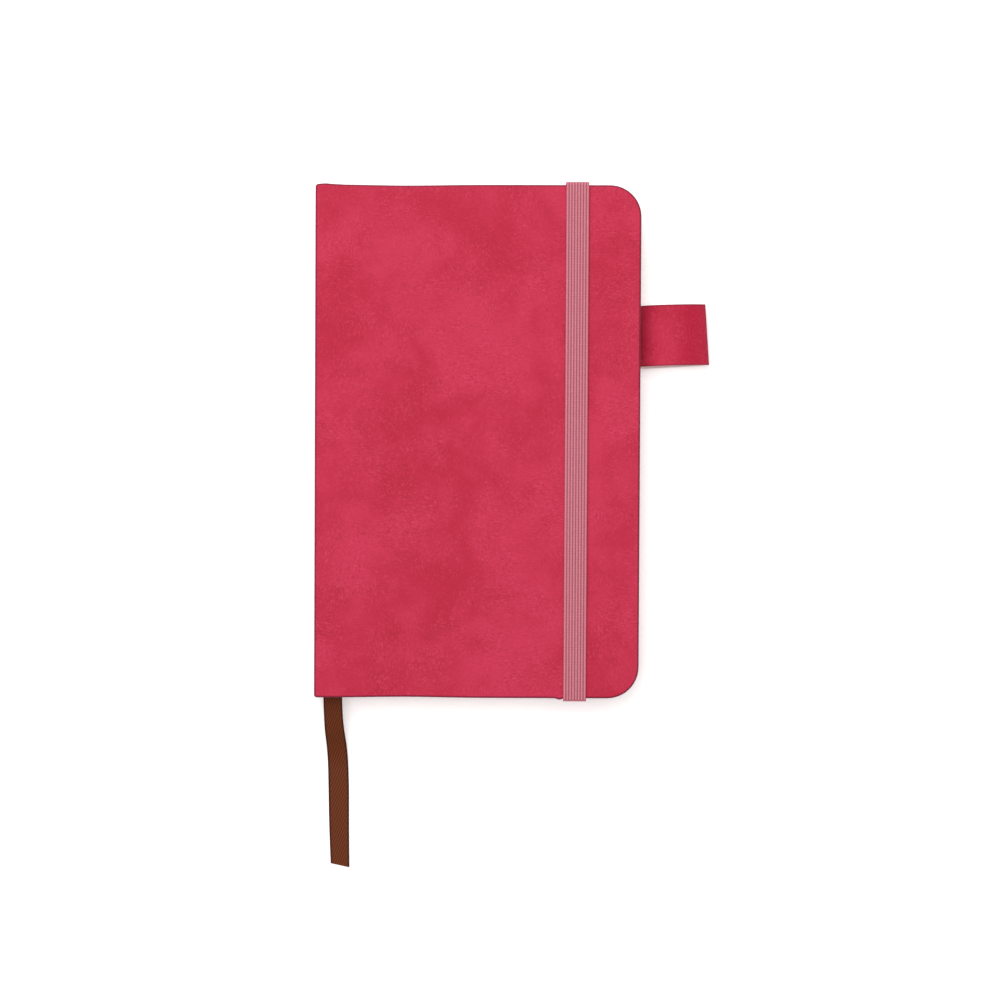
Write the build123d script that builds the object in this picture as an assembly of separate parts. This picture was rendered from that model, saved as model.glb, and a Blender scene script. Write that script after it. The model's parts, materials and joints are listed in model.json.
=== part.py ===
from build123d import *
import math
import os

# A sewn casebound pocket notebook, closed, in millimetres.
# X runs from the spine to the fore edge, Y from the tail to the head, and Z up from the back
# cover's outer face, where the origin lies at the middle of the face.

# Case
BOOK_WIDTH = 90.0
BOOK_HEIGHT = 142.0
BOOK_THICKNESS = 14.0
CORNER_RADIUS = 8.7      # rounded corners at the fore edge
WRAP = 0.7               # cover sheet
TURN_IN = 0.35           # pared cover sheet where it is turned in over the board
TURN_IN_WIDTH = 13.0
BOARD = 1.4
PAPER = 0.15             # endpapers
JOINT_WIDTH = 2.2        # flexible crease between spine and board
EDGE_ROUNDING = 0.5
HINGE_INSET = 1.4        # the creases' axes lie this far inside the outer faces

# Book block
BLOCK_LEFT = -42.9
BLOCK_RIGHT = 42.2
BLOCK_HALF_HEIGHT = 68.5
PAGE_RADIUS = 7.0
SIGNATURES = 12
SIGNATURES_THAT_TURN = 6
SIGNATURE = 0.64         # eight leaves of 0.08
LEAF_GAP = 0.03
ENDPAPER_GAP = 0.05
FOLD_ROUNDING = 0.3
STITCH = 0.2
STITCH_WIDTH = 0.6
STITCH_STATIONS = [-60, -38, -14, 14, 38, 60]
LINING = 0.3
BAND = 1.2               # headband

# Ribbon marker
RIBBON_WIDTH = 5.4
RIBBON = 0.25
RIBBON_GAP = 0.33
RIBBON_TAB = 0.15
RIBBON_ROUTE = [
    (-40.15, -68.5, 6.985),
    (-40.2, -77.5, 6.80),
    (-39.6, -87.0, 0.32),
    (-39.3, -96.5, 0.13),
    (-39.2, -107.5, 0.13),
    (-38.9, -118.2, 0.13),
]
RIBBON_END_SLANT = 1.0

# Elastic closure
ELASTIC_WIDTH = 6.35
ELASTIC = 0.8
ELASTIC_X = 27.5
ELASTIC_GAP = 0.05       # between the strand and the cover
ELASTIC_RUN = 9.0        # along the back cover's face, from its edge to the slit
ELASTIC_RUN_THICKNESS = 0.65
ELASTIC_TAB = 0.55       # flattened end between board and endpaper
ELASTIC_TAB_LENGTH = 12.0

# Pen loop
LOOP_WIDTH = 17.0
LOOP_Y = 29.4
LOOP_TURN = 1.7          # degrees
LOOP_WALL = 0.75
LOOP_ROOT = 45.5
LOOP_TIP = 64.2
LOOP_CROWN_X = 53.5
LOOP_LOW = 0.05
LOOP_HIGH = 6.75
LOOP_ROOT_MIDDLE = 2.4
LOOP_TIP_MIDDLE = 2.6
TONGUE_LENGTH = 10.0

RIGHT = BOOK_WIDTH / 2
LEFT = -RIGHT
HALF_HEIGHT = BOOK_HEIGHT / 2
BOARD_LEFT = LEFT + JOINT_WIDTH
INNER_FACE = WRAP + BOARD + TURN_IN          # depth of a cover's inner face under its endpaper
COVER = INNER_FACE + PAPER
SPINE_INNER = LEFT + HINGE_INSET
MIDDLE = Plane.XY.offset(BOOK_THICKNESS / 2)


def block(x, y, z):
    """A box between two corners, given as pairs of limits."""
    size = [b - a for a, b in (x, y, z)]
    return Pos(*[(a + b) / 2 for a, b in (x, y, z)]) * Box(*size)


def panel(left, right, half_height, radius, z):
    """A flat sheet or slab with rounded corners at its fore edge."""
    sheet = Pos((left + right) / 2, 0, z[0]) * Rectangle(right - left, 2 * half_height)
    sheet = fillet(sheet.vertices().group_by(Axis.X)[-1], radius)
    return extrude(sheet, z[1] - z[0])


def save(name, shape):
    shape.label = name
    export_step(shape, f"parts/{name}.step")


# The case. Both covers are made as the back cover, and the front one is its mirror image.

def cover_board():
    """Greyboard, pressed thinner under the turned-in cover sheet along three edges."""
    edge = CORNER_RADIUS - WRAP
    slab = panel(BOARD_LEFT, RIGHT - WRAP, HALF_HEIGHT - WRAP, edge, (WRAP, WRAP + BOARD))
    raised = block(
        (BOARD_LEFT, RIGHT - TURN_IN_WIDTH),
        (TURN_IN_WIDTH - HALF_HEIGHT, HALF_HEIGHT - TURN_IN_WIDTH),
        (WRAP + BOARD, INNER_FACE),
    )
    return slab + raised


def cover_wrap():
    """Cover sheet over the outer face, round the edges and turned in over the inner face."""
    outside = panel(BOARD_LEFT, RIGHT, HALF_HEIGHT, CORNER_RADIUS, (0, INNER_FACE))
    rim = outside.faces().sort_by(Axis.Z)[0].edges()
    rim = rim.filter_by(lambda edge: edge.center().X > BOARD_LEFT + EDGE_ROUNDING)
    return fillet(rim, EDGE_ROUNDING) - cover_board()


def joint_crease():
    """Bare cover sheet round the corner between the back cover and the spine."""
    corner = block((LEFT, BOARD_LEFT), (-HALF_HEIGHT, HALF_HEIGHT), (0, COVER))
    hollow = block((LEFT + WRAP, BOARD_LEFT), (-HALF_HEIGHT, HALF_HEIGHT), (WRAP, COVER))
    outer_edge = corner.edges().filter_by(Axis.Y).group_by(Axis.X)[0].sort_by(Axis.Z)[0]
    return fillet(outer_edge, EDGE_ROUNDING) - hollow


def pastedown():
    """Endpaper half glued to the cover's inner face."""
    return panel(BOARD_LEFT, BLOCK_RIGHT, BLOCK_HALF_HEIGHT, PAGE_RADIUS, (INNER_FACE, COVER))


def spine_strip():
    """Card strip that stiffens the spine."""
    half = HALF_HEIGHT - WRAP
    return block((LEFT + WRAP, SPINE_INNER), (-half, half), (COVER, BOOK_THICKNESS - COVER))


def spine_wrap():
    """Cover sheet over the spine, turned over the strip's two ends."""
    outside = block(
        (LEFT, SPINE_INNER), (-HALF_HEIGHT, HALF_HEIGHT), (COVER, BOOK_THICKNESS - COVER)
    )
    return outside - spine_strip()


# The book block, from the back cover up. The marker lies between the signatures that turn with
# the front cover and those that stay on the back cover.

def page_slab(bottom, thickness):
    """A rectangular stack of leaves with the block's rounded corners."""
    return panel(
        BLOCK_LEFT, BLOCK_RIGHT, BLOCK_HALF_HEIGHT, PAGE_RADIUS, (bottom, bottom + thickness)
    )


def signature(number):
    """A section of folded sheets, rounded along its fold. Number 1 is next to the front."""
    below = SIGNATURES - number
    bottom = COVER + ENDPAPER_GAP + PAPER + LEAF_GAP + below * (SIGNATURE + LEAF_GAP)
    if number <= SIGNATURES_THAT_TURN:
        bottom += RIBBON_GAP
    slab = page_slab(bottom, SIGNATURE)
    fold = slab.edges().filter_by(Axis.Y).group_by(Axis.X)[0]
    return fillet(fold, FOLD_ROUNDING)


def sewing():
    """Pairs of stitches that run over the folds, one pair at each sewing station."""
    across = (BLOCK_LEFT - STITCH, BLOCK_LEFT)
    up = (COVER + STITCH, BOOK_THICKNESS - COVER - STITCH)
    stitches = []
    for station in STITCH_STATIONS:
        for side in (-1, 1):
            y = station + side * STITCH_WIDTH
            stitches.append(block(across, (y - STITCH_WIDTH / 2, y + STITCH_WIDTH / 2), up))
    return Compound(children=stitches)


LINING_RIGHT = BLOCK_LEFT - STITCH
LINING_LEFT = LINING_RIGHT - LINING
BLOCK_DEPTH = (COVER + STITCH, BOOK_THICKNESS - COVER - STITCH)


def lining():
    """Cloth glued over the sewn folds, long enough to carry the headband."""
    half = BLOCK_HALF_HEIGHT + BAND
    return block((LINING_LEFT, LINING_RIGHT), (-half, half), BLOCK_DEPTH)


def headband():
    """Roll of cloth at the head of the block's spine, rounded along its outer edges."""
    roll = block(
        (LINING_RIGHT, LINING_RIGHT + BAND),
        (BLOCK_HALF_HEIGHT, BLOCK_HALF_HEIGHT + BAND),
        BLOCK_DEPTH,
    )
    return fillet(roll.edges().filter_by(Axis.Z).group_by(Axis.Y)[-1], BAND / 3)


# The ribbon marker

RIBBON_MIDDLE = RIBBON_ROUTE[0][2]
RIBBON_LAYER = (RIBBON_MIDDLE - RIBBON / 2, RIBBON_MIDDLE + RIBBON / 2)
TAB_Y = BLOCK_HALF_HEIGHT + BAND + 0.2
TAB_X = (SPINE_INNER + 0.02, SPINE_INNER + 0.02 + RIBBON_TAB)
TAB_Z = (COVER + STITCH, RIBBON_LAYER[1])


def ribbon_anchor():
    """Ribbon's glued end down the hollow of the spine, folded flat over the headband."""
    down = block(TAB_X, (45, TAB_Y + RIBBON_TAB), TAB_Z)
    over = block((TAB_X[0], LINING_RIGHT + 2), (TAB_Y, TAB_Y + RIBBON_TAB), TAB_Z)
    return down + over


def ribbon_inner():
    """Ribbon between the pages to the tail edge, gathered narrower where it passes the headband."""
    x, tail_edge = RIBBON_ROUTE[0][:2]
    right = x + RIBBON_WIDTH / 2
    between = block((x - RIBBON_WIDTH / 2, right), (tail_edge, -tail_edge), RIBBON_LAYER)
    neck = block((LINING_RIGHT + BAND, right), (-tail_edge, TAB_Y), RIBBON_LAYER)
    return between + neck


def corner_radii(points):
    """The largest tangent arc at each corner: 0.45 of its shorter run over tan(half the turn)."""
    radii = []
    for before, corner, after in zip(points, points[1:], points[2:]):
        run_in = Vector(*corner) - Vector(*before)
        run_out = Vector(*after) - Vector(*corner)
        half_turn = math.radians(run_in.get_angle(run_out)) / 2
        radii.append(0.45 * min(run_in.length, run_out.length) / math.tan(half_turn))
    return radii


def ribbon_tail():
    """Ribbon past the tail edge: it drops to the table, lies flat and ends in a slanting cut.

    The side view is a path of straight runs and tangent arcs, thickened and made wide. The plan
    view then trims it to the ribbon's width along the route.
    """
    fall = [(y, z) for x, y, z in RIBBON_ROUTE[:4]] + [RIBBON_ROUTE[-1][1:]]
    fall[-1] = (fall[-1][0] - RIBBON_END_SLANT, fall[-1][1] + 0.001)
    radii = corner_radii(fall)
    print("ribbon radii", [round(r, 1) for r in radii])
    path = FilletPolyline(*fall, radius=radii)
    strip = trace(path, RIBBON)
    wide = extrude(Plane.YZ.offset(-60) * strip, 60)
    half = RIBBON_WIDTH / 2
    right = [(x + half, y) for x, y, z in RIBBON_ROUTE]
    left = [(x - half, y) for x, y, z in RIBBON_ROUTE]
    right[-1] = (right[-1][0], right[-1][1] - RIBBON_END_SLANT)
    outline = make_face(Polyline(*right, *reversed(left), close=True))
    return wide & extrude(outline, BOOK_THICKNESS)


# The elastic closure

STRAND_X = (ELASTIC_X - ELASTIC_WIDTH / 2, ELASTIC_X + ELASTIC_WIDTH / 2)
LEG_Y = (HALF_HEIGHT + ELASTIC_GAP, HALF_HEIGHT + ELASTIC_GAP + ELASTIC)
STRAND_Z = (BOOK_THICKNESS + ELASTIC_GAP, BOOK_THICKNESS + ELASTIC_GAP + ELASTIC)
RUN_Z = (0.02, 0.02 + ELASTIC_RUN_THICKNESS)


def elastic_strand():
    """The run across the front cover, rounded where it turns down at the two edges."""
    run = block(STRAND_X, (-LEG_Y[1], LEG_Y[1]), STRAND_Z)
    turns = run.edges().filter_by(Axis.X).group_by(Axis.Z)[-1]
    return fillet(turns, ELASTIC * 0.8)


def elastic_leg():
    """The run down the head edge, rounded where it turns under the back cover."""
    run = block(STRAND_X, LEG_Y, (RUN_Z[0], STRAND_Z[0]))
    turn = run.edges().filter_by(Axis.X).group_by(Axis.Z)[0].sort_by(Axis.Y)[-1]
    return fillet(turn, ELASTIC * 0.7)


def elastic_anchor():
    """Let into the back cover: a run along its face, through the slit, and a glued end."""
    slit = HALF_HEIGHT - ELASTIC_RUN
    along = block(STRAND_X, (slit, LEG_Y[0]), RUN_Z)
    through = block(STRAND_X, (slit - ELASTIC_TAB, slit), (RUN_Z[0], INNER_FACE))
    glued = block(
        STRAND_X, (slit - ELASTIC_TAB_LENGTH, slit), (INNER_FACE - ELASTIC_TAB, INNER_FACE)
    )
    return along + through + glued


# The pen loop

def loop_line(root, crown, tip):
    """Arc of one layer of the loop, seen from the tail, from its root over its crown to the tip."""
    return ThreePointArc((LOOP_ROOT, root), (LOOP_CROWN_X, crown), (LOOP_TIP, tip))


def pen_loop():
    """Strip folded into a flattened loop, its two layers stitched together at the root."""
    upper = loop_line(LOOP_ROOT_MIDDLE + LOOP_WALL, LOOP_HIGH, LOOP_TIP_MIDDLE + LOOP_WALL)
    lower = loop_line(LOOP_ROOT_MIDDLE - LOOP_WALL, LOOP_LOW, LOOP_TIP_MIDDLE - LOOP_WALL)
    tip = Line(upper @ 1, lower @ 1)
    root = Line(lower @ 0, upper @ 0)
    outside = make_face(Curve() + [upper, tip, lower, root])
    ring = outside - offset(outside, -LOOP_WALL)
    strip = extrude(Plane.XZ * ring, LOOP_WIDTH / 2, both=True)
    return Pos(LOOP_ROOT, LOOP_Y, 0) * Rot(0, 0, LOOP_TURN) * Pos(-LOOP_ROOT, 0, 0) * strip


def loop_tongue():
    """The loop's pared tongue, glued in between the back board and its endpaper."""
    half = LOOP_WIDTH / 2
    return block(
        (RIGHT - TONGUE_LENGTH, RIGHT),
        (LOOP_Y - half, LOOP_Y + half),
        (INNER_FACE - ELASTIC_TAB, INNER_FACE),
    )


def build():
    anchor_head = elastic_anchor()
    anchor_tail = mirror(anchor_head, Plane.XZ)
    tongue = loop_tongue()
    let_in = anchor_head + anchor_tail + tongue
    save("back_board", cover_board() - let_in)
    save("wrap_back", cover_wrap() - let_in)
    save("front_board", mirror(cover_board(), MIDDLE))
    save("wrap_front", mirror(cover_wrap(), MIDDLE))
    save("wrap_back_crease", joint_crease())
    save("wrap_front_crease", mirror(joint_crease(), MIDDLE))
    save("back_pastedown", pastedown())
    save("front_pastedown", mirror(pastedown(), MIDDLE))
    save("spine_strip", spine_strip())
    save("wrap_spine", spine_wrap())

    flyleaf = page_slab(COVER + ENDPAPER_GAP, PAPER)
    save("back_flyleaf", flyleaf)
    save("front_flyleaf", mirror(flyleaf, MIDDLE))
    for number in range(1, SIGNATURES + 1):
        save(f"signature_{number:02d}", signature(number))
    save("sewing_thread", sewing())
    save("spine_lining", lining())
    save("headband", headband())

    save("ribbon_anchor", ribbon_anchor())
    save("ribbon_inner", ribbon_inner())
    save("ribbon_tail", ribbon_tail())

    save("elastic_strand", elastic_strand())
    save("elastic_leg_head", elastic_leg())
    save("elastic_leg_tail", mirror(elastic_leg(), Plane.XZ))
    save("elastic_anchor_head", anchor_head)
    save("elastic_anchor_tail", anchor_tail)

    save("pen_loop", pen_loop())
    save("pen_loop_anchor", tongue)


os.makedirs("parts", exist_ok=True)
build()
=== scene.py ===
"""Pocket notebook: the looks of its leatherette case, leaves, elastic, pen loop and ribbon marker.

Shapes are worked out in millimetres and put into meshes in metres.
"""
import json
import math

import bmesh
import bpy
import numpy as np
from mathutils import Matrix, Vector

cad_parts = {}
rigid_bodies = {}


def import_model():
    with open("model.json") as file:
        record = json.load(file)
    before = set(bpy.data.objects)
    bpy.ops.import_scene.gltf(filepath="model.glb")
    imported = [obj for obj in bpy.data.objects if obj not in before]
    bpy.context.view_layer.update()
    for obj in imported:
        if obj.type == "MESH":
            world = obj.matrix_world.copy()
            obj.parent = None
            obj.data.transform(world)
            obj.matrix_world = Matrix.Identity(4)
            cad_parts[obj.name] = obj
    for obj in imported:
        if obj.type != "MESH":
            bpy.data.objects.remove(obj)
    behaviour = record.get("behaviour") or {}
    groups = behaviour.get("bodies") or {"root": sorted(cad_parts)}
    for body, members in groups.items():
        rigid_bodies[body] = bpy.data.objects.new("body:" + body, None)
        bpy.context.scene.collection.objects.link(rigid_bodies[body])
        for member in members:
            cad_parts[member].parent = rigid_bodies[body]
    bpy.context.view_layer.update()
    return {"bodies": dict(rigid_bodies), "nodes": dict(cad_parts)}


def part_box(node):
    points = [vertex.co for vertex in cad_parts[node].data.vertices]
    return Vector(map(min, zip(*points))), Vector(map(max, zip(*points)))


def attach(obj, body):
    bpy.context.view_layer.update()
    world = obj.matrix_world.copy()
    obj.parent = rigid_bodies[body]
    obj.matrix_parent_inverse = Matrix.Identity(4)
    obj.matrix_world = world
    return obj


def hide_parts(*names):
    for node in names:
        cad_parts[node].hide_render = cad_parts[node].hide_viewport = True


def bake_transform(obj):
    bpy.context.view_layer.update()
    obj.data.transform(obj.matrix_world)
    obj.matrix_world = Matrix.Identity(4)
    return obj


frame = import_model()
nodes = frame["nodes"]
MM = 0.001


def limits(node):
    """Lowest and highest corner of a CAD node, in millimetres."""
    return [np.array(corner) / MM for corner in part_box(node)]


# Driving sizes, read from the frame, in millimetres.
BACK_LOW, BACK_HIGH = limits("wrap_back")
FRONT_HIGH = limits("wrap_front")[1]
SPINE_LOW, SPINE_HIGH = limits("wrap_spine")
LEAF_LOW, LEAF_HIGH = limits("signature_01")
STRAND_LOW, STRAND_HIGH = limits("elastic_strand")
RUN_LOW = limits("elastic_anchor_head")[0]
LOOP_LOW, LOOP_HIGH = limits("pen_loop")
ANCHOR_LOW, ANCHOR_HIGH = limits("pen_loop_anchor")
RIBBON_HIGH = limits("ribbon_inner")[1]
LINING_LOW, LINING_HIGH = limits("spine_lining")
BAND_LOW, BAND_HIGH = limits("headband")
THREAD_LOW, THREAD_HIGH = limits("sewing_thread")

BOOK_LEFT = SPINE_LOW[0]
BOOK_RIGHT = BACK_HIGH[0]
HALF_HEIGHT = BACK_HIGH[1]
THICKNESS = FRONT_HIGH[2]
COVER_DEPTH = BACK_HIGH[2]
SPINE_DEPTH = SPINE_HIGH[0] - SPINE_LOW[0]
JOINT_END = BACK_LOW[0] - BOOK_LEFT

# Sizes that the frame doesn't hold: lengths in millimetres, turns in radians.
CORNER_RADIUS = 8.7
COVER_LEAN = 0.0033
PAGE_RADIUS = 7.0
WRAP = 0.7
STRIP_CLEARANCE = 0.1
CREASE_DEPTH = 1.1
TURN_IN = 13.0
TURN_IN_THICKNESS = 0.35
EDGE_ROLL = 0.75
RULING_PITCH = 6.5
STITCH_STATIONS = (-60, -38, -14, 14, 38, 60)
SLIT_INSET = 9.3
ELASTIC_SHIFT = 0.2
SIGNATURES = 12
TURNING_SIGNATURES = 6
LEAVES_FOLDED = 4
RIBS = 8
LOOP_WALL = 0.75
LOOP_TURN = math.radians(1.7)
LOOP_WIDTH = 17.0
LOOP_ROOT = 45.1
LOOP_TIP = 64.2
LOOP_CROWN = 6.72
LOOP_CROWN_X = 53.5
LOOP_FOLD_SKEW = 0.3
LOOP_ASKEW = 0.55

# Control points of the ribbon's free run, from the block's tail edge, in millimetres.
RIBBON_ROUTE = [
    (-40.15, -68.5, 6.985),
    (-40.1, -77.5, 6.80),
    (-39.0, -87.0, 0.32),
    (-38.7, -96.5, 0.13),
    (-38.6, -107.5, 0.13),
    (-38.3, -118.2, 0.13),
]
RIBBON_WIDTH = 5.4
RIBBON_THICKNESS = 0.25
RIBBON_END_SLANT = 1.3


# Camera

def studio_camera():
    """Looks straight down at the book from 0.9 m above its front cover."""
    camera = bpy.data.cameras.new("camera")
    camera.sensor_width = 36
    camera.lens = 117.2
    camera.clip_end = 10
    stand = bpy.data.objects.new("camera", camera)
    stand.location = (0.0063, -0.0162, 0.914)
    stand.rotation_euler = (0, 0, math.radians(0.18))
    bpy.context.collection.objects.link(stand)
    bpy.context.scene.camera = stand


# Meshes

def grid_quads(index):
    """Quads between neighbouring rows and columns of a grid of vertex numbers."""
    a, b, c, d = index[:-1, :-1], index[1:, :-1], index[1:, 1:], index[:-1, 1:]
    return np.stack([a, b, c, d], -1).reshape(-1, 4)


def shell(outside, inside):
    """Closes two facing grids into one thin solid: both faces and a strip along each border.

    Returns the points, the quads, and each quad's side: 0 outside, 1 inside, 2 border.
    """
    rows, columns = outside.shape[:2]
    outer = np.arange(rows * columns).reshape(rows, columns)
    inner = outer + rows * columns
    borders = [
        np.stack([outer[0], inner[0]]),
        np.stack([outer[-1], inner[-1]]),
        np.stack([outer[:, 0], inner[:, 0]]),
        np.stack([outer[:, -1], inner[:, -1]]),
    ]
    parts = [grid_quads(outer), grid_quads(inner)] + [grid_quads(b) for b in borders]
    sides = [np.full(len(p), min(n, 2)) for n, p in enumerate(parts)]
    points = np.concatenate([outside.reshape(-1, 3), inside.reshape(-1, 3)])
    return points, np.concatenate(parts), np.concatenate(sides)


def join_shells(shells):
    """Several shells as one set of points, quads and sides."""
    counts = np.cumsum([0] + [len(s[0]) for s in shells[:-1]])
    points = np.concatenate([s[0] for s in shells])
    quads = np.concatenate([s[1] + n for s, n in zip(shells, counts)])
    return points, quads, np.concatenate([s[2] for s in shells])


def piece(
    name, points, quads, finishes,
    sides=None, uv=None, shade=None, sharp=35, body=None, merge=None,
):
    """A closed mesh with its normals outward. sides picks one of the finishes for each quad,
    uv gives each point's place on the cloth, shade how far it is darkened by painted shade
    along an edge, and merge is a distance in millimetres."""
    mesh = bpy.data.meshes.new(name)
    mesh.from_pydata((points * MM).tolist(), [], quads.tolist())
    for finish in finishes:
        mesh.materials.append(finish)
    if sides is not None:
        mesh.polygons.foreach_set("material_index", sides.astype(np.int32))
    if uv is not None:
        corners = np.empty(len(mesh.loops), np.int32)
        mesh.loops.foreach_get("vertex_index", corners)
        layer = mesh.uv_layers.new(name="cloth")
        layer.data.foreach_set("uv", uv[corners].astype(np.float32).ravel())
    # Painted shade along edges: how far each point is darkened.
    if shade is not None:
        layer = mesh.attributes.new("painted_edge_shade", "FLOAT", "POINT")
        layer.data.foreach_set("value", shade.astype(np.float32))
    work = bmesh.new()
    work.from_mesh(mesh)
    if merge:
        bmesh.ops.remove_doubles(work, verts=work.verts, dist=merge * MM)
    bmesh.ops.holes_fill(work, edges=[e for e in work.edges if e.is_boundary], sides=0)
    bmesh.ops.recalc_face_normals(work, faces=work.faces)
    work.to_mesh(mesh)
    work.free()
    mesh.shade_smooth()
    mesh.set_sharp_from_angle(angle=math.radians(sharp))
    made = bpy.data.objects.new(name, mesh)
    bpy.context.collection.objects.link(made)
    if body:
        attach(made, body)
    return made


def at_mm(x, y, z):
    return (x * MM, y * MM, z * MM)


# Finishes

def linear(red, green, blue):
    """A colour given in display values from 0 to 255, as linear light."""
    shares = np.array([red, green, blue]) / 255
    light = np.where(shares <= 0.04045, shares / 12.92, ((shares + 0.055) / 1.055) ** 2.4)
    return (*light, 1)


class Finish:
    """A material whose nodes are added one by one."""

    def __init__(self, title, roughness, **shader):
        self.material = bpy.data.materials.new(title)
        self.material.use_nodes = True
        self.tree = self.material.node_tree
        self.shader = self.tree.nodes["Principled BSDF"]
        self.shader.inputs["Roughness"].default_value = roughness
        for socket, value in shader.items():
            name = socket.replace("_", " ").title().replace("Ior", "IOR")
            self.shader.inputs[name].default_value = value

    def node(self, kind, wires=(), **settings):
        """Adds a node. settings are its own; wires are (input, value or output socket)."""
        made = self.tree.nodes.new("ShaderNode" + kind)
        for name, value in settings.items():
            setattr(made, name, value)
        for socket, value in wires:
            if isinstance(value, bpy.types.NodeSocket):
                self.tree.links.new(value, made.inputs[socket])
            else:
                made.inputs[socket].default_value = value
        return made

    def place(self, kind="Object", scale=(1, 1, 1), turn=0):
        """The piece's own coordinates, scaled, so that a pattern keeps to the piece."""
        source = self.node("TexCoord").outputs[kind]
        wires = [("Vector", source), ("Scale", scale), ("Rotation", (0, 0, turn))]
        return self.node("Mapping", wires).outputs["Vector"]

    def noise(self, where, scale, detail=2, roughness=0.5, distortion=0.0):
        wires = [("Vector", where), ("Scale", scale), ("Detail", detail)]
        wires += [("Roughness", roughness), ("Distortion", distortion)]
        return self.node("TexNoise", wires).outputs["Fac"]

    def ramp(self, value, low, high, out_low=0.0, out_high=1.0, smooth=True):
        wires = [("Value", value), ("From Min", low), ("From Max", high)]
        wires += [("To Min", out_low), ("To Max", out_high)]
        kind = "SMOOTHSTEP" if smooth else "LINEAR"
        return self.node("MapRange", wires, interpolation_type=kind).outputs["Result"]

    def math(self, operation, first, second=0.0):
        return self.node("Math", [(0, first), (1, second)], operation=operation).outputs[0]

    def mix(self, share, first, second):
        wires = [(0, share), (6, first), (7, second)]
        return self.node("Mix", wires, data_type="RGBA").outputs[2]

    def colour(self, socket):
        self.tree.links.new(socket, self.shader.inputs["Base Color"])

    def rough(self, socket):
        self.tree.links.new(socket, self.shader.inputs["Roughness"])

    def bump(self, height, depth_mm, strength=1.0):
        wires = [("Height", height), ("Distance", depth_mm * MM), ("Strength", strength)]
        made = self.node("Bump", wires)
        self.tree.links.new(made.outputs["Normal"], self.shader.inputs["Normal"])


def leatherette():
    """Matte raspberry leatherette: softly clouded colour, patches of short fine creases that run
    along the cover in some places and across it in others, and painted shade along its edges."""
    finish = Finish(
        "leatherette", 0.62, specular_ior_level=0.22, sheen_weight=0.03, sheen_roughness=0.5,
    )
    where = finish.place()
    broad = finish.noise(where, 48, 2, 0.5, 0.5)
    clouds = finish.noise(where, 150, 4, 0.6, 0.3)
    broad_share = finish.math("MULTIPLY", broad, 0.65)
    cloud = finish.math("ADD", broad_share, finish.math("MULTIPLY", clouds, 0.35))
    tone = finish.ramp(cloud, 0.34, 0.66)
    base = finish.mix(tone, linear(178, 21, 54), linear(194, 41, 73))
    along = finish.noise(finish.place(scale=(1.0, 0.5, 1.0), turn=0.25), 2300, 3, 0.65, 1.2)
    across = finish.noise(finish.place(scale=(0.5, 1.0, 1.0), turn=0.35), 2300, 3, 0.65, 1.2)
    way = finish.ramp(finish.noise(where, 60, 1), 0.46, 0.54)
    crease = finish.node("Mix", [(0, way), (2, along), (3, across)]).outputs[0]
    patches = finish.ramp(finish.noise(where, 85, 3, 0.6), 0.36, 0.64, 0.5, 1.0)
    light = finish.math("MULTIPLY", finish.ramp(crease, 0.49, 0.68), patches)
    dark = finish.math("MULTIPLY", finish.ramp(crease, 0.50, 0.32), patches)
    base = finish.mix(finish.math("MULTIPLY", light, 0.62), base, linear(212, 70, 98))
    base = finish.mix(finish.math("MULTIPLY", dark, 0.75), base, linear(158, 14, 42))
    # Painted shade: a dark plum line along rolled edges and the pen loop's sides and fold.
    edge = finish.node("Attribute", attribute_name="painted_edge_shade").outputs["Fac"]
    finish.colour(finish.mix(finish.math("MULTIPLY", edge, 0.85), base, linear(92, 20, 44)))
    finish.rough(finish.ramp(crease, 0.3, 0.7, 0.55, 0.7))
    finish.bump(finish.math("MULTIPLY", crease, patches), 0.06, 0.7)
    return finish.material


def woven_elastic():
    """Dusty pink elastic: ribs along it, painted shade in grooves, short crossing threads."""
    finish = Finish(
        "woven_elastic", 0.75, specular_ior_level=0.25, sheen_weight=0.08, sheen_roughness=0.4,
    )
    along = finish.node("SeparateXYZ", [("Vector", finish.place("UV"))])
    across = finish.math("MULTIPLY", along.outputs["X"], 2 * math.pi * RIBS)
    groove = finish.math("MULTIPLY", finish.math("ADD", finish.math("COSINE", across), 1), 0.5)
    groove = finish.math("POWER", groove, 1.6)
    edge = finish.math("ABSOLUTE", finish.math("SUBTRACT", along.outputs["X"], 0.5))
    selvedge = finish.ramp(edge, 0.40, 0.47)
    cord = finish.mix(selvedge, linear(207, 123, 136), linear(218, 118, 132))
    threads = finish.math("SINE", finish.math("MULTIPLY", along.outputs["Y"], 2 * math.pi / 0.42))
    speckle = finish.noise(finish.place(), 2400, 2)
    shade = finish.math("MULTIPLY", finish.ramp(threads, -1, 1), 0.18)
    cord = finish.mix(shade, cord, linear(172, 92, 106))
    cord = finish.mix(finish.ramp(speckle, 0.35, 0.75, 0, 0.25), cord, linear(232, 165, 172))
    # Painted shade: the grooves between the ribs are darkened.
    finish.colour(finish.mix(finish.math("MULTIPLY", groove, 0.78), cord, linear(132, 50, 70)))
    finish.bump(finish.math("ADD", threads, speckle), 0.04, 0.7)
    return finish.material


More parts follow.
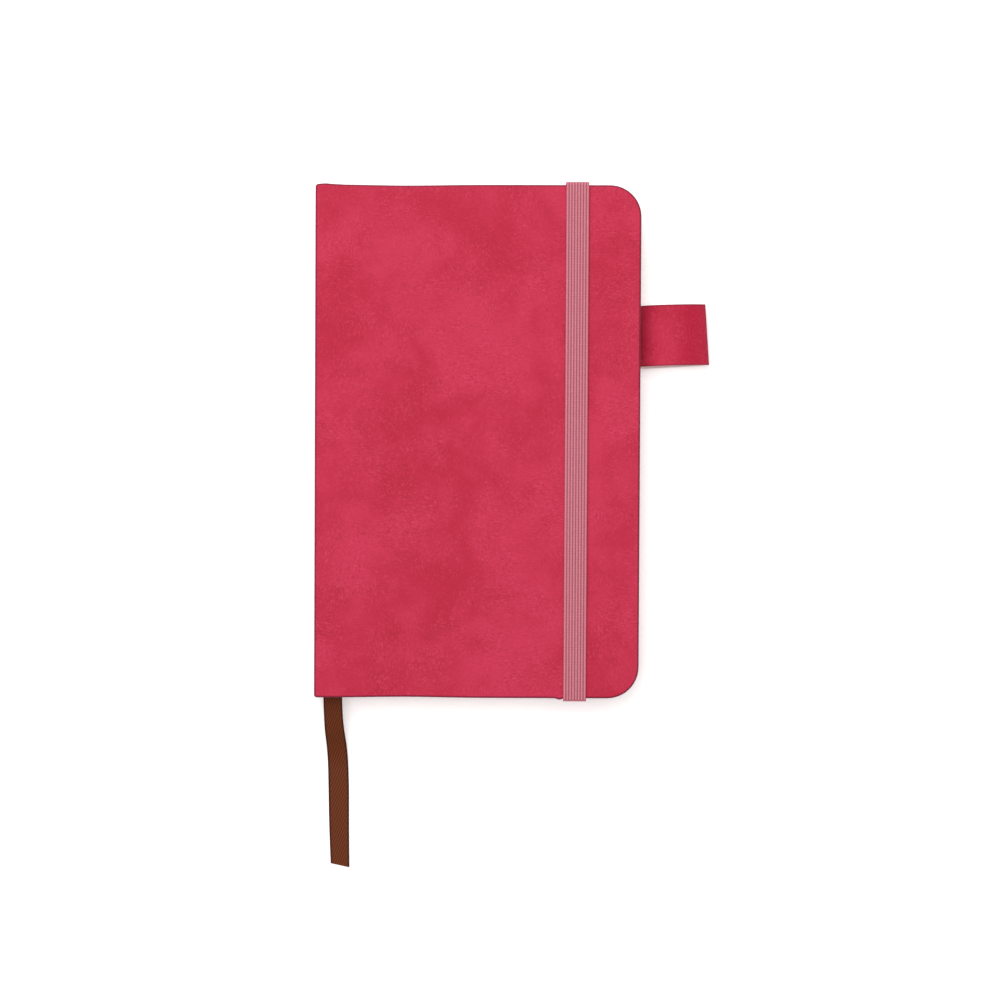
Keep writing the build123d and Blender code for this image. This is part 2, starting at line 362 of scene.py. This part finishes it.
def twill_ribbon():
    """Brown ribbon: steep diagonal twill between plain, darker selvedges."""
    finish = Finish(
        "twill_ribbon", 0.6, specular_ior_level=0.12, sheen_weight=0.02, sheen_roughness=0.4,
    )
    cloth = finish.node("SeparateXYZ", [("Vector", finish.place("UV"))])
    steep = finish.math("MULTIPLY", cloth.outputs["Y"], 0.42)
    phase = finish.math("ADD", cloth.outputs["X"], steep)
    twill = finish.math("SINE", finish.math("MULTIPLY", phase, 2 * math.pi / 0.7))
    weft = finish.math("SINE", finish.math("MULTIPLY", cloth.outputs["Y"], 2 * math.pi / 0.28))
    off_centre = finish.math("ABSOLUTE", cloth.outputs["X"])
    selvedge = finish.ramp(off_centre, RIBBON_WIDTH / 2 - 0.6, RIBBON_WIDTH / 2 - 0.35)
    body = finish.mix(finish.ramp(twill, -0.9, 0.9), linear(84, 36, 15), linear(112, 54, 25))
    cord = finish.mix(finish.ramp(weft, -1, 1), linear(50, 18, 7), linear(80, 34, 15))
    finish.colour(finish.mix(selvedge, body, cord))
    ridge = finish.math("MULTIPLY", twill, 0.5)
    height = finish.math("ADD", ridge, finish.math("MULTIPLY", weft, 0.2))
    finish.bump(height, 0.05, 0.8)
    return finish.material


def paper(name, tint, ruled):
    """Uncoated paper with a faint fibre mottle; ruled adds thin grey lines across the leaves."""
    finish = Finish(name, 0.85)
    where = finish.place()
    fibre = finish.noise(where, 900, 3, 0.6)
    shade = finish.mix(finish.ramp(fibre, 0.3, 0.7, 0, 0.12), tint, linear(203, 190, 166))
    if ruled:
        spread = finish.node("SeparateXYZ", [("Vector", where)])
        pitch = finish.math("MULTIPLY", spread.outputs["Y"], 1 / (RULING_PITCH * MM))
        near = finish.math("ABSOLUTE", finish.math("SUBTRACT", finish.math("FRACT", pitch), 0.5))
        line = finish.math("LESS_THAN", near, 0.018)
        inside = finish.math("ABSOLUTE", finish.math("ADD", spread.outputs["Y"], 4 * MM))
        line = finish.math("MULTIPLY", line, finish.math("LESS_THAN", inside, 58 * MM))
        flat = finish.node("SeparateXYZ", [("Vector", finish.node("TexCoord").outputs["Normal"])])
        flat = finish.math("GREATER_THAN", finish.math("ABSOLUTE", flat.outputs["Z"]), 0.9)
        line = finish.math("MULTIPLY", finish.math("MULTIPLY", line, flat), 0.55)
        shade = finish.mix(line, shade, linear(150, 152, 160))
    finish.colour(shade)
    finish.bump(fibre, 0.01, 0.4)
    return finish.material


def greyboard():
    """Pressed greyboard with flecks of fibre."""
    finish = Finish("greyboard", 0.9)
    fleck = finish.noise(finish.place(), 700, 4, 0.7)
    share = finish.ramp(fleck, 0.35, 0.65)
    finish.colour(finish.mix(share, linear(142, 136, 126), linear(182, 176, 164)))
    finish.bump(fleck, 0.03)
    return finish.material


def woven_cloth(name, dark, light, pitch_mm):
    """Plain weave in two tones, from two crossed sets of threads."""
    finish = Finish(name, 0.85, sheen_weight=0.2)
    spread = finish.node("SeparateXYZ", [("Vector", finish.place())])
    turns = 2 * math.pi / (pitch_mm * MM)
    warp = finish.math("SINE", finish.math("MULTIPLY", spread.outputs["Y"], turns))
    across = finish.math("ADD", spread.outputs["Z"], spread.outputs["X"])
    weft = finish.math("SINE", finish.math("MULTIPLY", across, turns))
    weave = finish.math("MULTIPLY", warp, weft)
    finish.colour(finish.mix(finish.ramp(weave, -0.8, 0.8), dark, light))
    finish.bump(weave, 0.04)
    return finish.material


LEATHERETTE = leatherette()
ELASTIC = woven_elastic()
TWILL = twill_ribbon()
LEAF_PAPER = paper("leaf_paper", linear(236, 227, 205), ruled=True)
END_PAPER = paper("end_paper", linear(232, 223, 201), ruled=False)
GREYBOARD = greyboard()
BACKING = woven_cloth("loop_backing", linear(240, 206, 204), linear(252, 236, 234), 0.35)
MULL = woven_cloth("mull", linear(205, 198, 182), linear(232, 227, 214), 0.6)
BAND_CLOTH = woven_cloth("band_cloth", linear(150, 30, 52), linear(214, 150, 158), 0.5)
RIBBON_TAB = woven_cloth("ribbon_tab", linear(80, 33, 11), linear(122, 60, 27), 0.5)
THREAD = woven_cloth("thread", linear(214, 208, 194), linear(240, 236, 226), 0.25)


# Ribbon marker

def route_points(name, route):
    """Points along the smooth NURBS line that has the route's points as its control points."""
    curve = bpy.data.curves.new(name, "CURVE")
    curve.dimensions = "3D"
    curve.resolution_u = 16
    spline = curve.splines.new("NURBS")
    spline.points.add(len(route) - 1)
    for point, place in zip(spline.points, route):
        point.co = (*at_mm(*place), 1)
    spline.order_u = 3
    spline.use_endpoint_u = True
    line = bpy.data.objects.new(name, curve)
    bpy.context.collection.objects.link(line)
    mesh = bpy.data.meshes.new_from_object(line)
    flat = np.empty(len(mesh.vertices) * 3)
    mesh.vertices.foreach_get("co", flat)
    bpy.data.objects.remove(line)
    bpy.data.meshes.remove(mesh)
    return flat.reshape(-1, 3) / MM


def ribbon_strip(line, width, thickness, end_slant=0.0):
    """A flat strip carried along a line, level across. With end_slant, its last 5 mm are cut on
    a slant and its width drifts along it, from 3 % narrower to 6 % wider."""
    along = np.gradient(line, axis=0)
    along /= np.linalg.norm(along, axis=1, keepdims=True)
    level = np.cross(along, (0, 0, 1.0))
    level /= np.linalg.norm(level, axis=1, keepdims=True)
    level *= np.sign(level[:, :1])
    up = np.cross(level, along)
    up *= np.sign(up[:, 2:])
    share = np.linspace(-1, 1, 13)
    run = np.concatenate([[0], np.cumsum(np.linalg.norm(np.diff(line, axis=0), axis=1))])
    slack = 0.09 * np.sin(math.pi * np.clip((run - 8) / 42, 0, 1)) - 0.03
    width = width * (1 + slack * (end_slant > 0))[:, None]
    near_end = np.clip(1 - (run[-1] - run) / 5, 0, 1)
    middle = line[:, None] + level[:, None] * (share * width / 2)[..., None]
    slant = end_slant * near_end[:, None] * (share + 1)[None] / 2
    middle = middle + along[:, None] * slant[..., None]
    top = middle + up[:, None] * thickness / 2
    bottom = middle - up[:, None] * thickness / 2
    across = np.broadcast_to(share * RIBBON_WIDTH / 2, top.shape[:2])
    down = run[:, None] + slant
    cloth = np.stack([across, down], -1).reshape(-1, 2)
    return shell(top, bottom), np.concatenate([cloth, cloth])


def ribbon_marker():
    """The ribbon's free tail, which falls to the table, and its stretch between the leaves."""
    line = route_points("ribbon_route", RIBBON_ROUTE)
    (points, quads, _), cloth = ribbon_strip(
        line, RIBBON_WIDTH, RIBBON_THICKNESS, RIBBON_END_SLANT
    )
    tail = piece("ribbon_tail_twill", points, quads, [TWILL], uv=cloth, body="root")
    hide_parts("ribbon_tail")
    x, tail_edge, z = RIBBON_ROUTE[0]
    down = np.linspace(RIBBON_HIGH[1], tail_edge, 40)
    inside = np.stack([np.full(40, x), down, np.full(40, z)], -1)
    (points, quads, _), cloth = ribbon_strip(inside, RIBBON_WIDTH, RIBBON_THICKNESS)
    inner = piece("ribbon_inner_twill", points, quads, [TWILL], uv=cloth, body="root")
    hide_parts("ribbon_inner")


# Case

def case_columns():
    """Places along the width of half the wrap, measured from its corner at the spine: close
    together round that corner and where the elastic is let in."""
    corner = np.linspace(-EDGE_ROLL, EDGE_ROLL, 9)
    spine = np.array([-THICKNESS / 2, -4.6, -2.9, -1.6, -1.1])
    joint = np.array([1.2, 1.7, JOINT_END, 3.0, 4.5])
    cover = np.arange(8.0, BOOK_RIGHT - BOOK_LEFT - CORNER_RADIUS, 4.0)
    elastic = np.array([-2.6, -1.9, -1.3, -0.7, -0.25, 0.1, 3.2, 6.25, 6.6, 7.05])
    elastic += STRAND_LOW[0] - BOOK_LEFT
    cover = cover[(cover < elastic[0] - 1) | (cover > elastic[-1] + 1)]
    end = [BOOK_RIGHT - BOOK_LEFT - CORNER_RADIUS]
    return np.unique(np.concatenate([spine, corner, joint, cover, elastic, end]).round(4))


def case_ring(inset, columns, rows):
    """The half wrap's outline, moved inwards by inset: tail edge, rounded corner, fore edge,
    rounded corner, head edge. It starts and ends at the middle of the spine."""
    width = BOOK_RIGHT - BOOK_LEFT
    radius = max(CORNER_RADIUS - inset, 0.3)
    corner_p = width - inset - radius
    corner_q = HALF_HEIGHT - inset - radius
    start = JOINT_END * 2
    scale = (corner_p - start) / (columns[-1] - start)
    straight = np.where(columns > start, start + (columns - start) * scale, columns)
    turn = np.linspace(0, math.pi / 2, 13)[1:]
    arc = np.stack([corner_p + radius * np.sin(turn), corner_q + radius * np.cos(turn)], -1)
    edge = np.stack([straight, np.full(len(straight), HALF_HEIGHT - inset)], -1)
    head = np.concatenate([edge, arc])
    fore = np.stack([np.full(len(rows) - 2, arc[-1, 0]), rows[1:-1] * corner_q], -1)
    return np.concatenate([head * (1, -1), fore, head[::-1]])


def half_wrap_sheet():
    """One half of the cover sheet, laid out flat: place along, place across, depth below the
    outer face. A grid covers the outer face up to 3 mm from the edge; rings then carry the
    edge's profile round the outline: rolled over, down the board's edge, turned in, and back
    along the board to the sheet's inner face."""
    columns = case_columns()
    near_slit = np.array([60.6, 61.3, 61.9, 62.4, 63.2]) / (HALF_HEIGHT - 3)
    rows = np.concatenate([np.linspace(-0.84, 0.84, 27), near_slit, -near_slit, [-1, 1]])
    rows = np.unique(rows.round(4))
    over = np.linspace(0, math.pi / 2, 7)
    profile = [(3.0, 0), (2.0, 0), (1.2, 0)]
    profile += [(EDGE_ROLL * (1 - math.sin(a)), EDGE_ROLL * (1 - math.cos(a))) for a in over]
    under = 0.45
    bottom = COVER_DEPTH
    profile += [(0, 1.4)]
    profile += [(under * (1 - math.cos(a)), bottom - under * (1 - math.sin(a))) for a in over]
    profile += [(2, bottom), (6, bottom), (TURN_IN, bottom)]
    profile += [(TURN_IN, bottom - TURN_IN_THICKNESS)]
    profile += [(WRAP, bottom - TURN_IN_THICKNESS), (WRAP, WRAP), (3.0, WRAP)]
    rings = [case_ring(inset, columns, rows) for inset, _ in profile]
    walls = np.stack([
        np.concatenate([ring, np.full((len(ring), 1), depth)], 1)
        for ring, (_, depth) in zip(rings, profile)
    ])
    edge = rings[0]
    count = len(columns) + 12
    across = edge[:count]
    grid = np.stack([
        np.broadcast_to(across[:, :1], (count, len(rows))),
        -across[:, 1:] * rows[None],
    ], -1)
    outer = np.concatenate([grid, np.zeros((*grid.shape[:2], 1))], -1)
    inner = np.concatenate([grid, np.full((*grid.shape[:2], 1), WRAP)], -1)
    parts, quads, first = [], [], 0
    for part in (outer, walls, inner):
        index = np.arange(part.shape[0] * part.shape[1]).reshape(part.shape[:2]) + first
        parts.append(part.reshape(-1, 3))
        quads.append(grid_quads(index))
        first += index.size
    return np.concatenate(parts), np.concatenate(quads)


def bend_round_spine(sheet):
    """Lays the flat half sheet round the case's front corner: up the spine before the corner,
    along the cover after it, and round an arc between. Where there is no board the edge's
    depth shrinks: at the crease to the sheet and its turn-in, beyond it to the spine strip's."""
    place, across, depth = sheet.T
    marks = [-THICKNESS / 2, -2.6, -1.7, 1.3, JOINT_END]
    spine = SPINE_DEPTH + STRIP_CLEARANCE
    local = np.interp(place, marks, [spine, spine, CREASE_DEPTH, CREASE_DEPTH, COVER_DEPTH])
    share = (local - WRAP) / (COVER_DEPTH - WRAP)
    depth = np.where(depth > WRAP, WRAP + (depth - WRAP) * share, depth)
    radius = EDGE_ROLL
    turn = (np.clip(place, -radius, radius) + radius) / (2 * radius) * math.pi / 2
    straight_x = np.maximum(place - radius, 0)
    straight_z = np.minimum(place + radius, 0)
    x = BOOK_LEFT + radius - (radius - depth) * np.cos(turn) + straight_x
    z = THICKNESS - radius + (radius - depth) * np.sin(turn) + straight_z
    return np.stack([x, across, z], -1)


def soft_waves(points):
    """A few hundredths of a millimetre of unevenness, as a glued sheet has over board."""
    x, y = points[:, 0], points[:, 1]
    return 0.03 * np.sin(x / 7.1 + np.sin(y / 13)) * np.cos(y / 9.3 + 0.7 * np.sin(x / 11))


def rolled_edge_painted_shade(below):
    """Painted shade: the dark line where the sheet rolls over an edge, away from the light, by
    distance below the outer face.
    """
    return np.interp(below, [0.02, 0.09, 0.3, 1.0, 2.0], [0, 0.65, 1, 0.6, 0.15])


def edge_unevenness(points):
    """How far the handmade cover strays from a true rectangle: its fore edge leans by a fifth
    of a degree, its head and tail edges are drawn in a little, the head stands proud by the
    spine, and the tail has a small bump beside the elastic. The last three are Gaussian in x
    and fade out 7 mm inside the edge."""
    x, y = points[:, 0], points[:, 1]
    lean = COVER_LEAN * y * (x - BOOK_LEFT) / (BOOK_RIGHT - BOOK_LEFT)
    near_edge = np.clip((np.abs(y) - HALF_HEIGHT + 7) / 7, 0, 1)
    out = -0.27 * np.exp(-(((x + 20) / 13) ** 2))
    out += np.where(y > 0, 0.3 * np.exp(-(((x + 42.2) / 2.3) ** 2)), 0)
    out += np.where(y < 0, 0.4 * np.exp(-(((x - 23.1) / 0.9) ** 2)), 0)
    return np.stack([lean, np.sign(y) * out * near_edge, np.zeros(len(x))], -1)


def cover_sheets():
    """The wrap's front half and back half, which meet along the middle of the spine. The back
    half is dented where the elastic is let into it."""
    flat, quads = half_wrap_sheet()
    front = bend_round_spine(flat)
    # Painted shade along the rolled edges and round the spine corner; the back half uses the same.
    shade = rolled_edge_painted_shade(THICKNESS - front[:, 2])
    on_face = (flat[:, 2] == 0) & (flat[:, 0] > JOINT_END)
    front[:, 2] -= np.where(on_face, 0.04 + soft_waves(front), 0)
    front += edge_unevenness(front)
    made = piece("cover_sheet_front", front, quads, [LEATHERETTE], shade=shade, merge=0.004)
    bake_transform(made)
    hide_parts("wrap_front", "wrap_front_crease", "wrap_spine")

    back = bend_round_spine(flat) * (1, 1, -1) + (0, 0, THICKNESS)
    outside = flat[:, 2] < WRAP
    strand_sides = STRAND_LOW[0] + np.array([-0.6, -0.1, 6.45, 6.95])
    beside = np.interp(back[:, 0], strand_sides, [0, 1, 1, 0])
    beyond = np.interp(np.abs(back[:, 1]), [HALF_HEIGHT - 9.9, HALF_HEIGHT - 9.4], [0, 1])
    back[:, 2] += np.where(outside, 0.62 * beside * beyond, 0)
    made = piece("cover_sheet_back", back, quads, [LEATHERETTE], shade=shade, merge=0.004)
    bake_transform(made)
    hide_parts("wrap_back", "wrap_back_crease")


# Leaves

def leaf_half_height(x):
    """Half a leaf's height at x: constant, then falling along the rounded corner's circle."""
    past = np.maximum(x - (LEAF_HIGH[0] - PAGE_RADIUS), 0)
    rise = np.sqrt(np.maximum(PAGE_RADIUS**2 - past**2, 0))
    return LEAF_HIGH[1] - PAGE_RADIUS + rise


def folded_sheet(bottom, top, nested, trim):
    """A sheet folded round the ones inside it. Its profile runs from the fore edge along the
    upper leaf, round the fold's half circle and back along the lower leaf; each point of the
    profile is stretched along Y to the leaf's height there. trim is its uneven cut."""
    leaf = (top - bottom) / (2 * LEAVES_FOLDED)
    radius = (top - bottom) / 2 - (nested + 0.5) * leaf
    fold_x = LEAF_LOW[0] + (top - bottom) / 2
    round_off = np.sin(np.linspace(math.pi / 2, 0, 9))
    fore = LEAF_HIGH[0] - PAGE_RADIUS + PAGE_RADIUS * round_off
    plain = np.linspace(fore[-1], fold_x, 10)[1:]
    upper_x = np.concatenate([fore, plain])
    turn = np.linspace(math.pi / 2, 3 * math.pi / 2, 9)[1:-1]
    x = np.concatenate([upper_x, fold_x + radius * np.cos(turn), upper_x[::-1]])
    level = np.full(len(upper_x), radius)
    z = (bottom + top) / 2 + np.concatenate([level, radius * np.sin(turn), -level])
    out_x = np.concatenate([np.zeros(len(upper_x)), np.cos(turn), np.zeros(len(upper_x))])
    out_z = np.concatenate([np.ones(len(upper_x)), np.sin(turn), -np.ones(len(upper_x))])
    height = leaf_half_height(x) + trim[0]
    x = x + np.maximum(x - fore[-1], 0) / PAGE_RADIUS * trim[1]
    across = np.linspace(-1, 1, 5)
    y = height[:, None] * across[None]
    shift = np.stack([out_x, np.zeros(len(x)), out_z], -1)[:, None] * leaf * 0.43
    x, z = (np.broadcast_to(part[:, None], y.shape) for part in (x, z))
    middle = np.stack([x, y, z], -1)
    return shell(middle + shift, middle - shift)


def signatures():
    """Every signature as its four folded sheets, each cut a few hundredths unevenly."""
    chance = np.random.default_rng(7)
    for number in range(1, SIGNATURES + 1):
        name = f"signature_{number:02d}"
        low, high = limits(name)
        trims = chance.normal(0, 0.03, (LEAVES_FOLDED, 2)) - 0.05
        sheets = [folded_sheet(low[2], high[2], n, trims[n]) for n in range(LEAVES_FOLDED)]
        points, quads, _ = join_shells(sheets)
        body = name if name in frame["bodies"] else "root"
        leaves = piece(f"leaves_{number:02d}", points, quads, [LEAF_PAPER], body=body, sharp=50)
        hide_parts(name)


# Spine of the block

def half_round(x, y_low, y_high, z_low, z_high, bulge, rows=9, columns=12):
    """A strip standing on the plane at x whose face bulges towards the spine: its depth is 0.02
    plus bulge times the square root of one minus the square of the share across it."""
    y = np.linspace(y_low, y_high, rows)
    z = np.linspace(z_low, z_high, columns)
    share = np.linspace(-1, 1, rows)
    depth = 0.02 + bulge * np.sqrt(1 - share**2)
    y, z = np.meshgrid(y, z, indexing="ij")
    face = np.stack([x - np.broadcast_to(depth[:, None], y.shape), y, z], -1)
    base = np.stack([np.full(y.shape, x), y, z], -1)
    return shell(face, base)


def stitches(name, body, low, high):
    """The sewing's loops over the folds between two heights: a pair at each station."""
    strips = [
        half_round(THREAD_HIGH[0], y + side * 0.6 - 0.2, y + side * 0.6 + 0.2, low, high, 0.16)
        for y in STITCH_STATIONS for side in (-1, 1)
    ]
    points, quads, _ = join_shells(strips)
    made = piece(name, points, quads, [THREAD], body=body)
    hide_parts("sewing_thread")


def sewing_and_lining():
    """The stitches over the folds, the cloth glued over them and the headband: one piece of
    each for the signatures that stay, and one for each signature that turns, so that they fan
    out with it."""
    stretches = [("back", "root", THREAD_LOW[2], limits("signature_07")[1][2])]
    for number in range(1, TURNING_SIGNATURES + 1):
        name = f"signature_{number:02d}"
        low, high = limits(name)
        stretches.append((f"{number:02d}", name, low[2], high[2]))
    for stretch, body, low, high in stretches:
        stitches(f"stitches_{stretch}", body, low, high)
        low, high = np.clip((low, high), LINING_LOW[2], LINING_HIGH[2])
        cloth = half_round(LINING_HIGH[0], LINING_LOW[1], LINING_HIGH[1], low, high, 0.02, 40)
        made = piece(f"mull_{stretch}", *cloth[:2], [MULL], body=body)
        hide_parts("spine_lining")
        low, high = np.clip((low, high), BAND_LOW[2], BAND_HIGH[2])
        made = piece(f"headband_{stretch}", *head_roll(low, high)[:2], [BAND_CLOTH], body=body)
        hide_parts("headband")


def head_roll(low, high):
    """A roll of cloth along Z: a circle carried along it, pulled in and out a little where the
    threads are wound round it."""
    radius = (BAND_HIGH[1] - BAND_LOW[1]) / 2
    turn = np.linspace(0, 2 * math.pi, 21)
    z = np.linspace(low, high, 50)
    wound = radius * (0.94 + 0.06 * np.cos(z * 2 * math.pi / 0.5))
    x = (BAND_LOW[0] + BAND_HIGH[0]) / 2 + wound[:, None] * np.cos(turn)
    y = (BAND_LOW[1] + BAND_HIGH[1]) / 2 + wound[:, None] * np.sin(turn)
    skin = np.stack([x, y, np.broadcast_to(z[:, None], x.shape)], -1)
    core = skin * (0, 0, 1) + ((BAND_LOW + BAND_HIGH) / 2) * (1, 1, 0)
    return shell(skin, core + (skin - core) * 0.3)


# Elastic closure

def rounded_line(corners, radii, steps=7):
    """A line of straight runs with an arc of each radius at its corners, in a plane."""
    corners = np.array(corners, float)
    made = [corners[:1]]
    for before, corner, after, radius in zip(corners, corners[1:], corners[2:], radii):
        a = (before - corner) / np.linalg.norm(before - corner)
        b = (after - corner) / np.linalg.norm(after - corner)
        half = math.acos(np.clip(a @ b, -1, 1)) / 2
        bisector = (a + b) / np.linalg.norm(a + b)
        centre = corner + bisector * radius / math.sin(half)
        start = corner + a * radius / math.tan(half) - centre
        end = corner + b * radius / math.tan(half) - centre
        sweep = math.atan2(start[0] * end[1] - start[1] * end[0], start @ end)
        angle = np.linspace(0, sweep, steps)[:, None]
        across = np.array([-start[1], start[0]])
        made.append(centre + start * np.cos(angle) + across * np.sin(angle))
    made.append(corners[-1:])
    return np.concatenate(made)


def filled_in(line, longest):
    """Adds points along a line's runs: no further apart than longest on runs over 100 mm, and
    eight times closer on shorter ones."""
    made = [line[:1]]
    for a, b in zip(line, line[1:]):
        length = np.linalg.norm(b - a)
        steps = max(1, math.ceil(length / (longest if length > 100 else longest / 8)))
        made.append(a + (b - a) * np.linspace(0, 1, steps + 1)[1:, None])
    return np.concatenate(made)


def left_of(line):
    """Unit normals to the left of a line in a plane."""
    along = np.gradient(line, axis=0)
    along /= np.linalg.norm(along, axis=1, keepdims=True)
    return np.stack([-along[:, 1], along[:, 0]], -1)


def elastic_band():
    """Ribbed band carried along its way round the book: from its end inside the back cover out
    through the tail slit, up the tail edge, over the front cover, down the head edge and in
    through the head slit."""
    leg = (limits("elastic_leg_head")[0][1] + limits("elastic_leg_head")[1][1]) / 2
    run_z = RUN_LOW[2] + 0.33
    inner_z = COVER_DEPTH - 0.3
    top = (STRAND_LOW[2] + STRAND_HIGH[2]) / 2
    slit = HALF_HEIGHT - SLIT_INSET
    way = [(-slit + 8, inner_z), (-slit, inner_z), (-slit, run_z), (-leg, run_z), (-leg, top),
           (leg, top), (leg, run_z), (slit, run_z), (slit, inner_z), (slit - 8, inner_z)]
    line = filled_in(rounded_line(way, [0.35, 0.35, 0.45, 0.5, 0.5, 0.45, 0.35, 0.35]), 5.0)
    normal = -left_of(line)
    run = np.concatenate([[0], np.cumsum(np.linalg.norm(np.diff(line, axis=0), axis=1))])
    half = np.interp(line[:, 1], [1.0, 2.2, 6.0], [0.3, 0.36, 0.4])
    share = np.linspace(0, 1, 8 * RIBS + 1)
    groove = 0.13 * ((1 + np.cos(2 * math.pi * RIBS * share)) / 2) ** 3
    x = STRAND_LOW[0] + (STRAND_HIGH[0] - STRAND_LOW[0]) * share
    faces = []
    for sign in (1, -1):
        out = sign * (half[:, None] - groove[None])
        y = line[:, :1] + normal[:, :1] * out
        z = line[:, 1:] + normal[:, 1:] * out
        lean = (COVER_LEAN * y - ELASTIC_SHIFT) * z / THICKNESS
        faces.append(np.stack([x + lean, y, z], -1))
    cloth = np.stack(np.broadcast_arrays(share[None], run[:, None]), -1).reshape(-1, 2)
    points, quads, _ = shell(*faces)
    cloth = np.concatenate([cloth, cloth])
    made = piece("elastic_band", points, quads, [ELASTIC], uv=cloth, sharp=60)
    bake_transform(made)
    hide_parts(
        "elastic_strand", "elastic_leg_head", "elastic_leg_tail",
        "elastic_anchor_head", "elastic_anchor_tail",
    )


# Pen loop

def arc_through(a, b, c, steps):
    """Points of the circle's arc from a through b to c."""
    a, b, c = (np.array(p, float) for p in (a, b, c))
    chords = np.array([b - a, c - a])
    middle = a + np.linalg.solve(2 * chords, (chords**2).sum(1))
    radius = np.linalg.norm(a - middle)
    angles = np.unwrap([math.atan2(*(p - middle)[::-1]) for p in (a, b, c)])
    angle = np.linspace(angles[0], angles[2], steps)
    return middle + radius * np.stack([np.cos(angle), np.sin(angle)], -1)


def pen_loop():
    """A strip of leatherette folded over at its outer end: an arc out along its lower layer, a
    tight fold, and an arc back along its upper layer, carried across its width. The lower
    layer lies a little askew, so its cloth backing shows beside the upper one's edge. The flat
    tongue that holds the loop goes in under the back pastedown."""
    root_x, tip_x = LOOP_ROOT, LOOP_TIP
    half = LOOP_WALL / 2
    lowest = (LOOP_CROWN_X, half + 0.08)
    highest = (LOOP_CROWN_X, LOOP_CROWN - half)
    lower = arc_through((root_x, 2.02), lowest, (tip_x - 0.5, 2.02), 24)
    upper = arc_through((tip_x - 0.5, 3.05), highest, (root_x, 2.78), 24)
    fold = arc_through(lower[-1] + (0.05, 0.1), (tip_x - half, 2.54), upper[0] + (0.05, -0.1), 7)
    line = np.concatenate([lower, fold, upper])
    normal = -left_of(line)
    share = np.array([-1, -0.97, -0.94, *np.linspace(-0.9, 0.9, 17), 0.94, 0.97, 1])
    centre_y = (LOOP_LOW[1] + LOOP_HIGH[1]) / 2
    easing = np.linspace(1, 0, len(fold))
    under = np.concatenate([np.ones(len(lower)), easing, np.zeros(len(upper))])
    outward = np.clip((line[:, 0] - root_x) / (tip_x - root_x), 0, 1)
    y = share[None] * LOOP_WIDTH / 2 - (LOOP_ASKEW * under * (1 - outward))[:, None]
    skew = -LOOP_FOLD_SKEW * share[None] * (outward**2)[:, None]
    grids = []
    for sign in (1, -1):
        flat = line + normal * half * sign
        x = flat[:, :1] - root_x + skew
        z = np.broadcast_to(flat[:, 1:], y.shape)
        turned_x = x * math.cos(LOOP_TURN) - y * math.sin(LOOP_TURN)
        turned_y = x * math.sin(LOOP_TURN) + y * math.cos(LOOP_TURN)
        grids.append(np.stack([turned_x + root_x, turned_y + centre_y, z], -1))
    # Painted shade: a dark line along the strip's side edges and over its fold.
    rim = np.interp(np.abs(share), [0.95, 1], [0, 1])[None]
    shade = np.maximum(rim, np.interp(line[:, 0], [tip_x - 0.6, tip_x - 0.2], [0, 1])[:, None])
    points, quads, sides = shell(*grids)
    made = piece(
        "pen_loop_strip", points, quads, [LEATHERETTE, BACKING, BACKING], sides,
        shade=np.tile(shade.ravel(), 2), body="pen_loop",
    )
    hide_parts("pen_loop")

    along = np.linspace(ANCHOR_LOW[0], root_x + 0.3, 9)
    x, y = np.meshgrid(along, share * LOOP_WIDTH / 2, indexing="ij")
    levels = (ANCHOR_HIGH[2] - 0.05, ANCHOR_LOW[2] + 0.05)
    faces = [np.stack([x, y + centre_y, np.full(x.shape, z)], -1) for z in levels]
    points, quads, sides = shell(*faces)
    made = piece(
        "pen_loop_tongue", points, quads, [LEATHERETTE, BACKING, BACKING], sides, body="root",
    )
    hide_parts("pen_loop_anchor")


# Frame pieces that keep their shape

def finish_frame_pieces():
    finishes = {
        "front_board": GREYBOARD, "back_board": GREYBOARD, "spine_strip": GREYBOARD,
        "front_pastedown": END_PAPER, "back_pastedown": END_PAPER,
        "front_flyleaf": END_PAPER, "back_flyleaf": END_PAPER,
        "ribbon_anchor": RIBBON_TAB,
    }
    for name, finish in finishes.items():
        for slot in nodes[name].material_slots:
            slot.material = finish


# Studio

def studio():
    """A white floor that glows faintly, a large soft light high above the book, a small weak one
    lower down, both set off towards its head and spine, and an even white surround."""
    side = 3.0
    mesh = bpy.data.meshes.new("floor")
    corners = [(-side, -side, 0), (side, -side, 0), (side, side, 0), (-side, side, 0)]
    mesh.from_pydata(corners, [], [(0, 1, 2, 3)])
    floor = bpy.data.objects.new("floor", mesh)
    floor.location.z = -0.0002
    finish = Finish("floor", 0.9, specular_ior_level=0.1, emission_strength=0.32)
    finish.shader.inputs["Emission Color"].default_value = (1, 1, 1, 1)
    soft = finish.noise(finish.place(), 3, 2)
    share = finish.ramp(soft, 0.3, 0.7)
    finish.colour(finish.mix(share, (0.93, 0.93, 0.93, 1), (0.95, 0.95, 0.95, 1)))
    mesh.materials.append(finish.material)
    bpy.context.collection.objects.link(floor)

    def softbox(name, place, aim, size, power):
        light = bpy.data.lights.new(name, "AREA")
        light.shape = "SQUARE"
        light.size = size
        light.energy = power
        lamp = bpy.data.objects.new(name, light)
        lamp.location = place
        direction = np.array(aim) - np.array(place)
        lamp.rotation_euler = (
            math.acos(-direction[2] / np.linalg.norm(direction)),
            0,
            math.atan2(-direction[0], direction[1]),
        )
        bpy.context.collection.objects.link(lamp)

    softbox("key", (-0.15, 0.3, 1.7), (0, 0, 0), 1.6, 25)
    softbox("fill", (-0.2, 0.55, 0.5), (0, 0, 0), 0.4, 1.6)
    world = bpy.data.worlds.new("world")
    world.use_nodes = True
    world.node_tree.nodes["Background"].inputs["Color"].default_value = (1, 1, 1, 1)
    world.node_tree.nodes["Background"].inputs["Strength"].default_value = 0.35
    bpy.context.scene.world = world
    bpy.context.scene.view_settings.view_transform = "Standard"


studio_camera()
ribbon_marker()
cover_sheets()
signatures()
sewing_and_lining()
elastic_band()
pen_loop()
finish_frame_pieces()
studio()
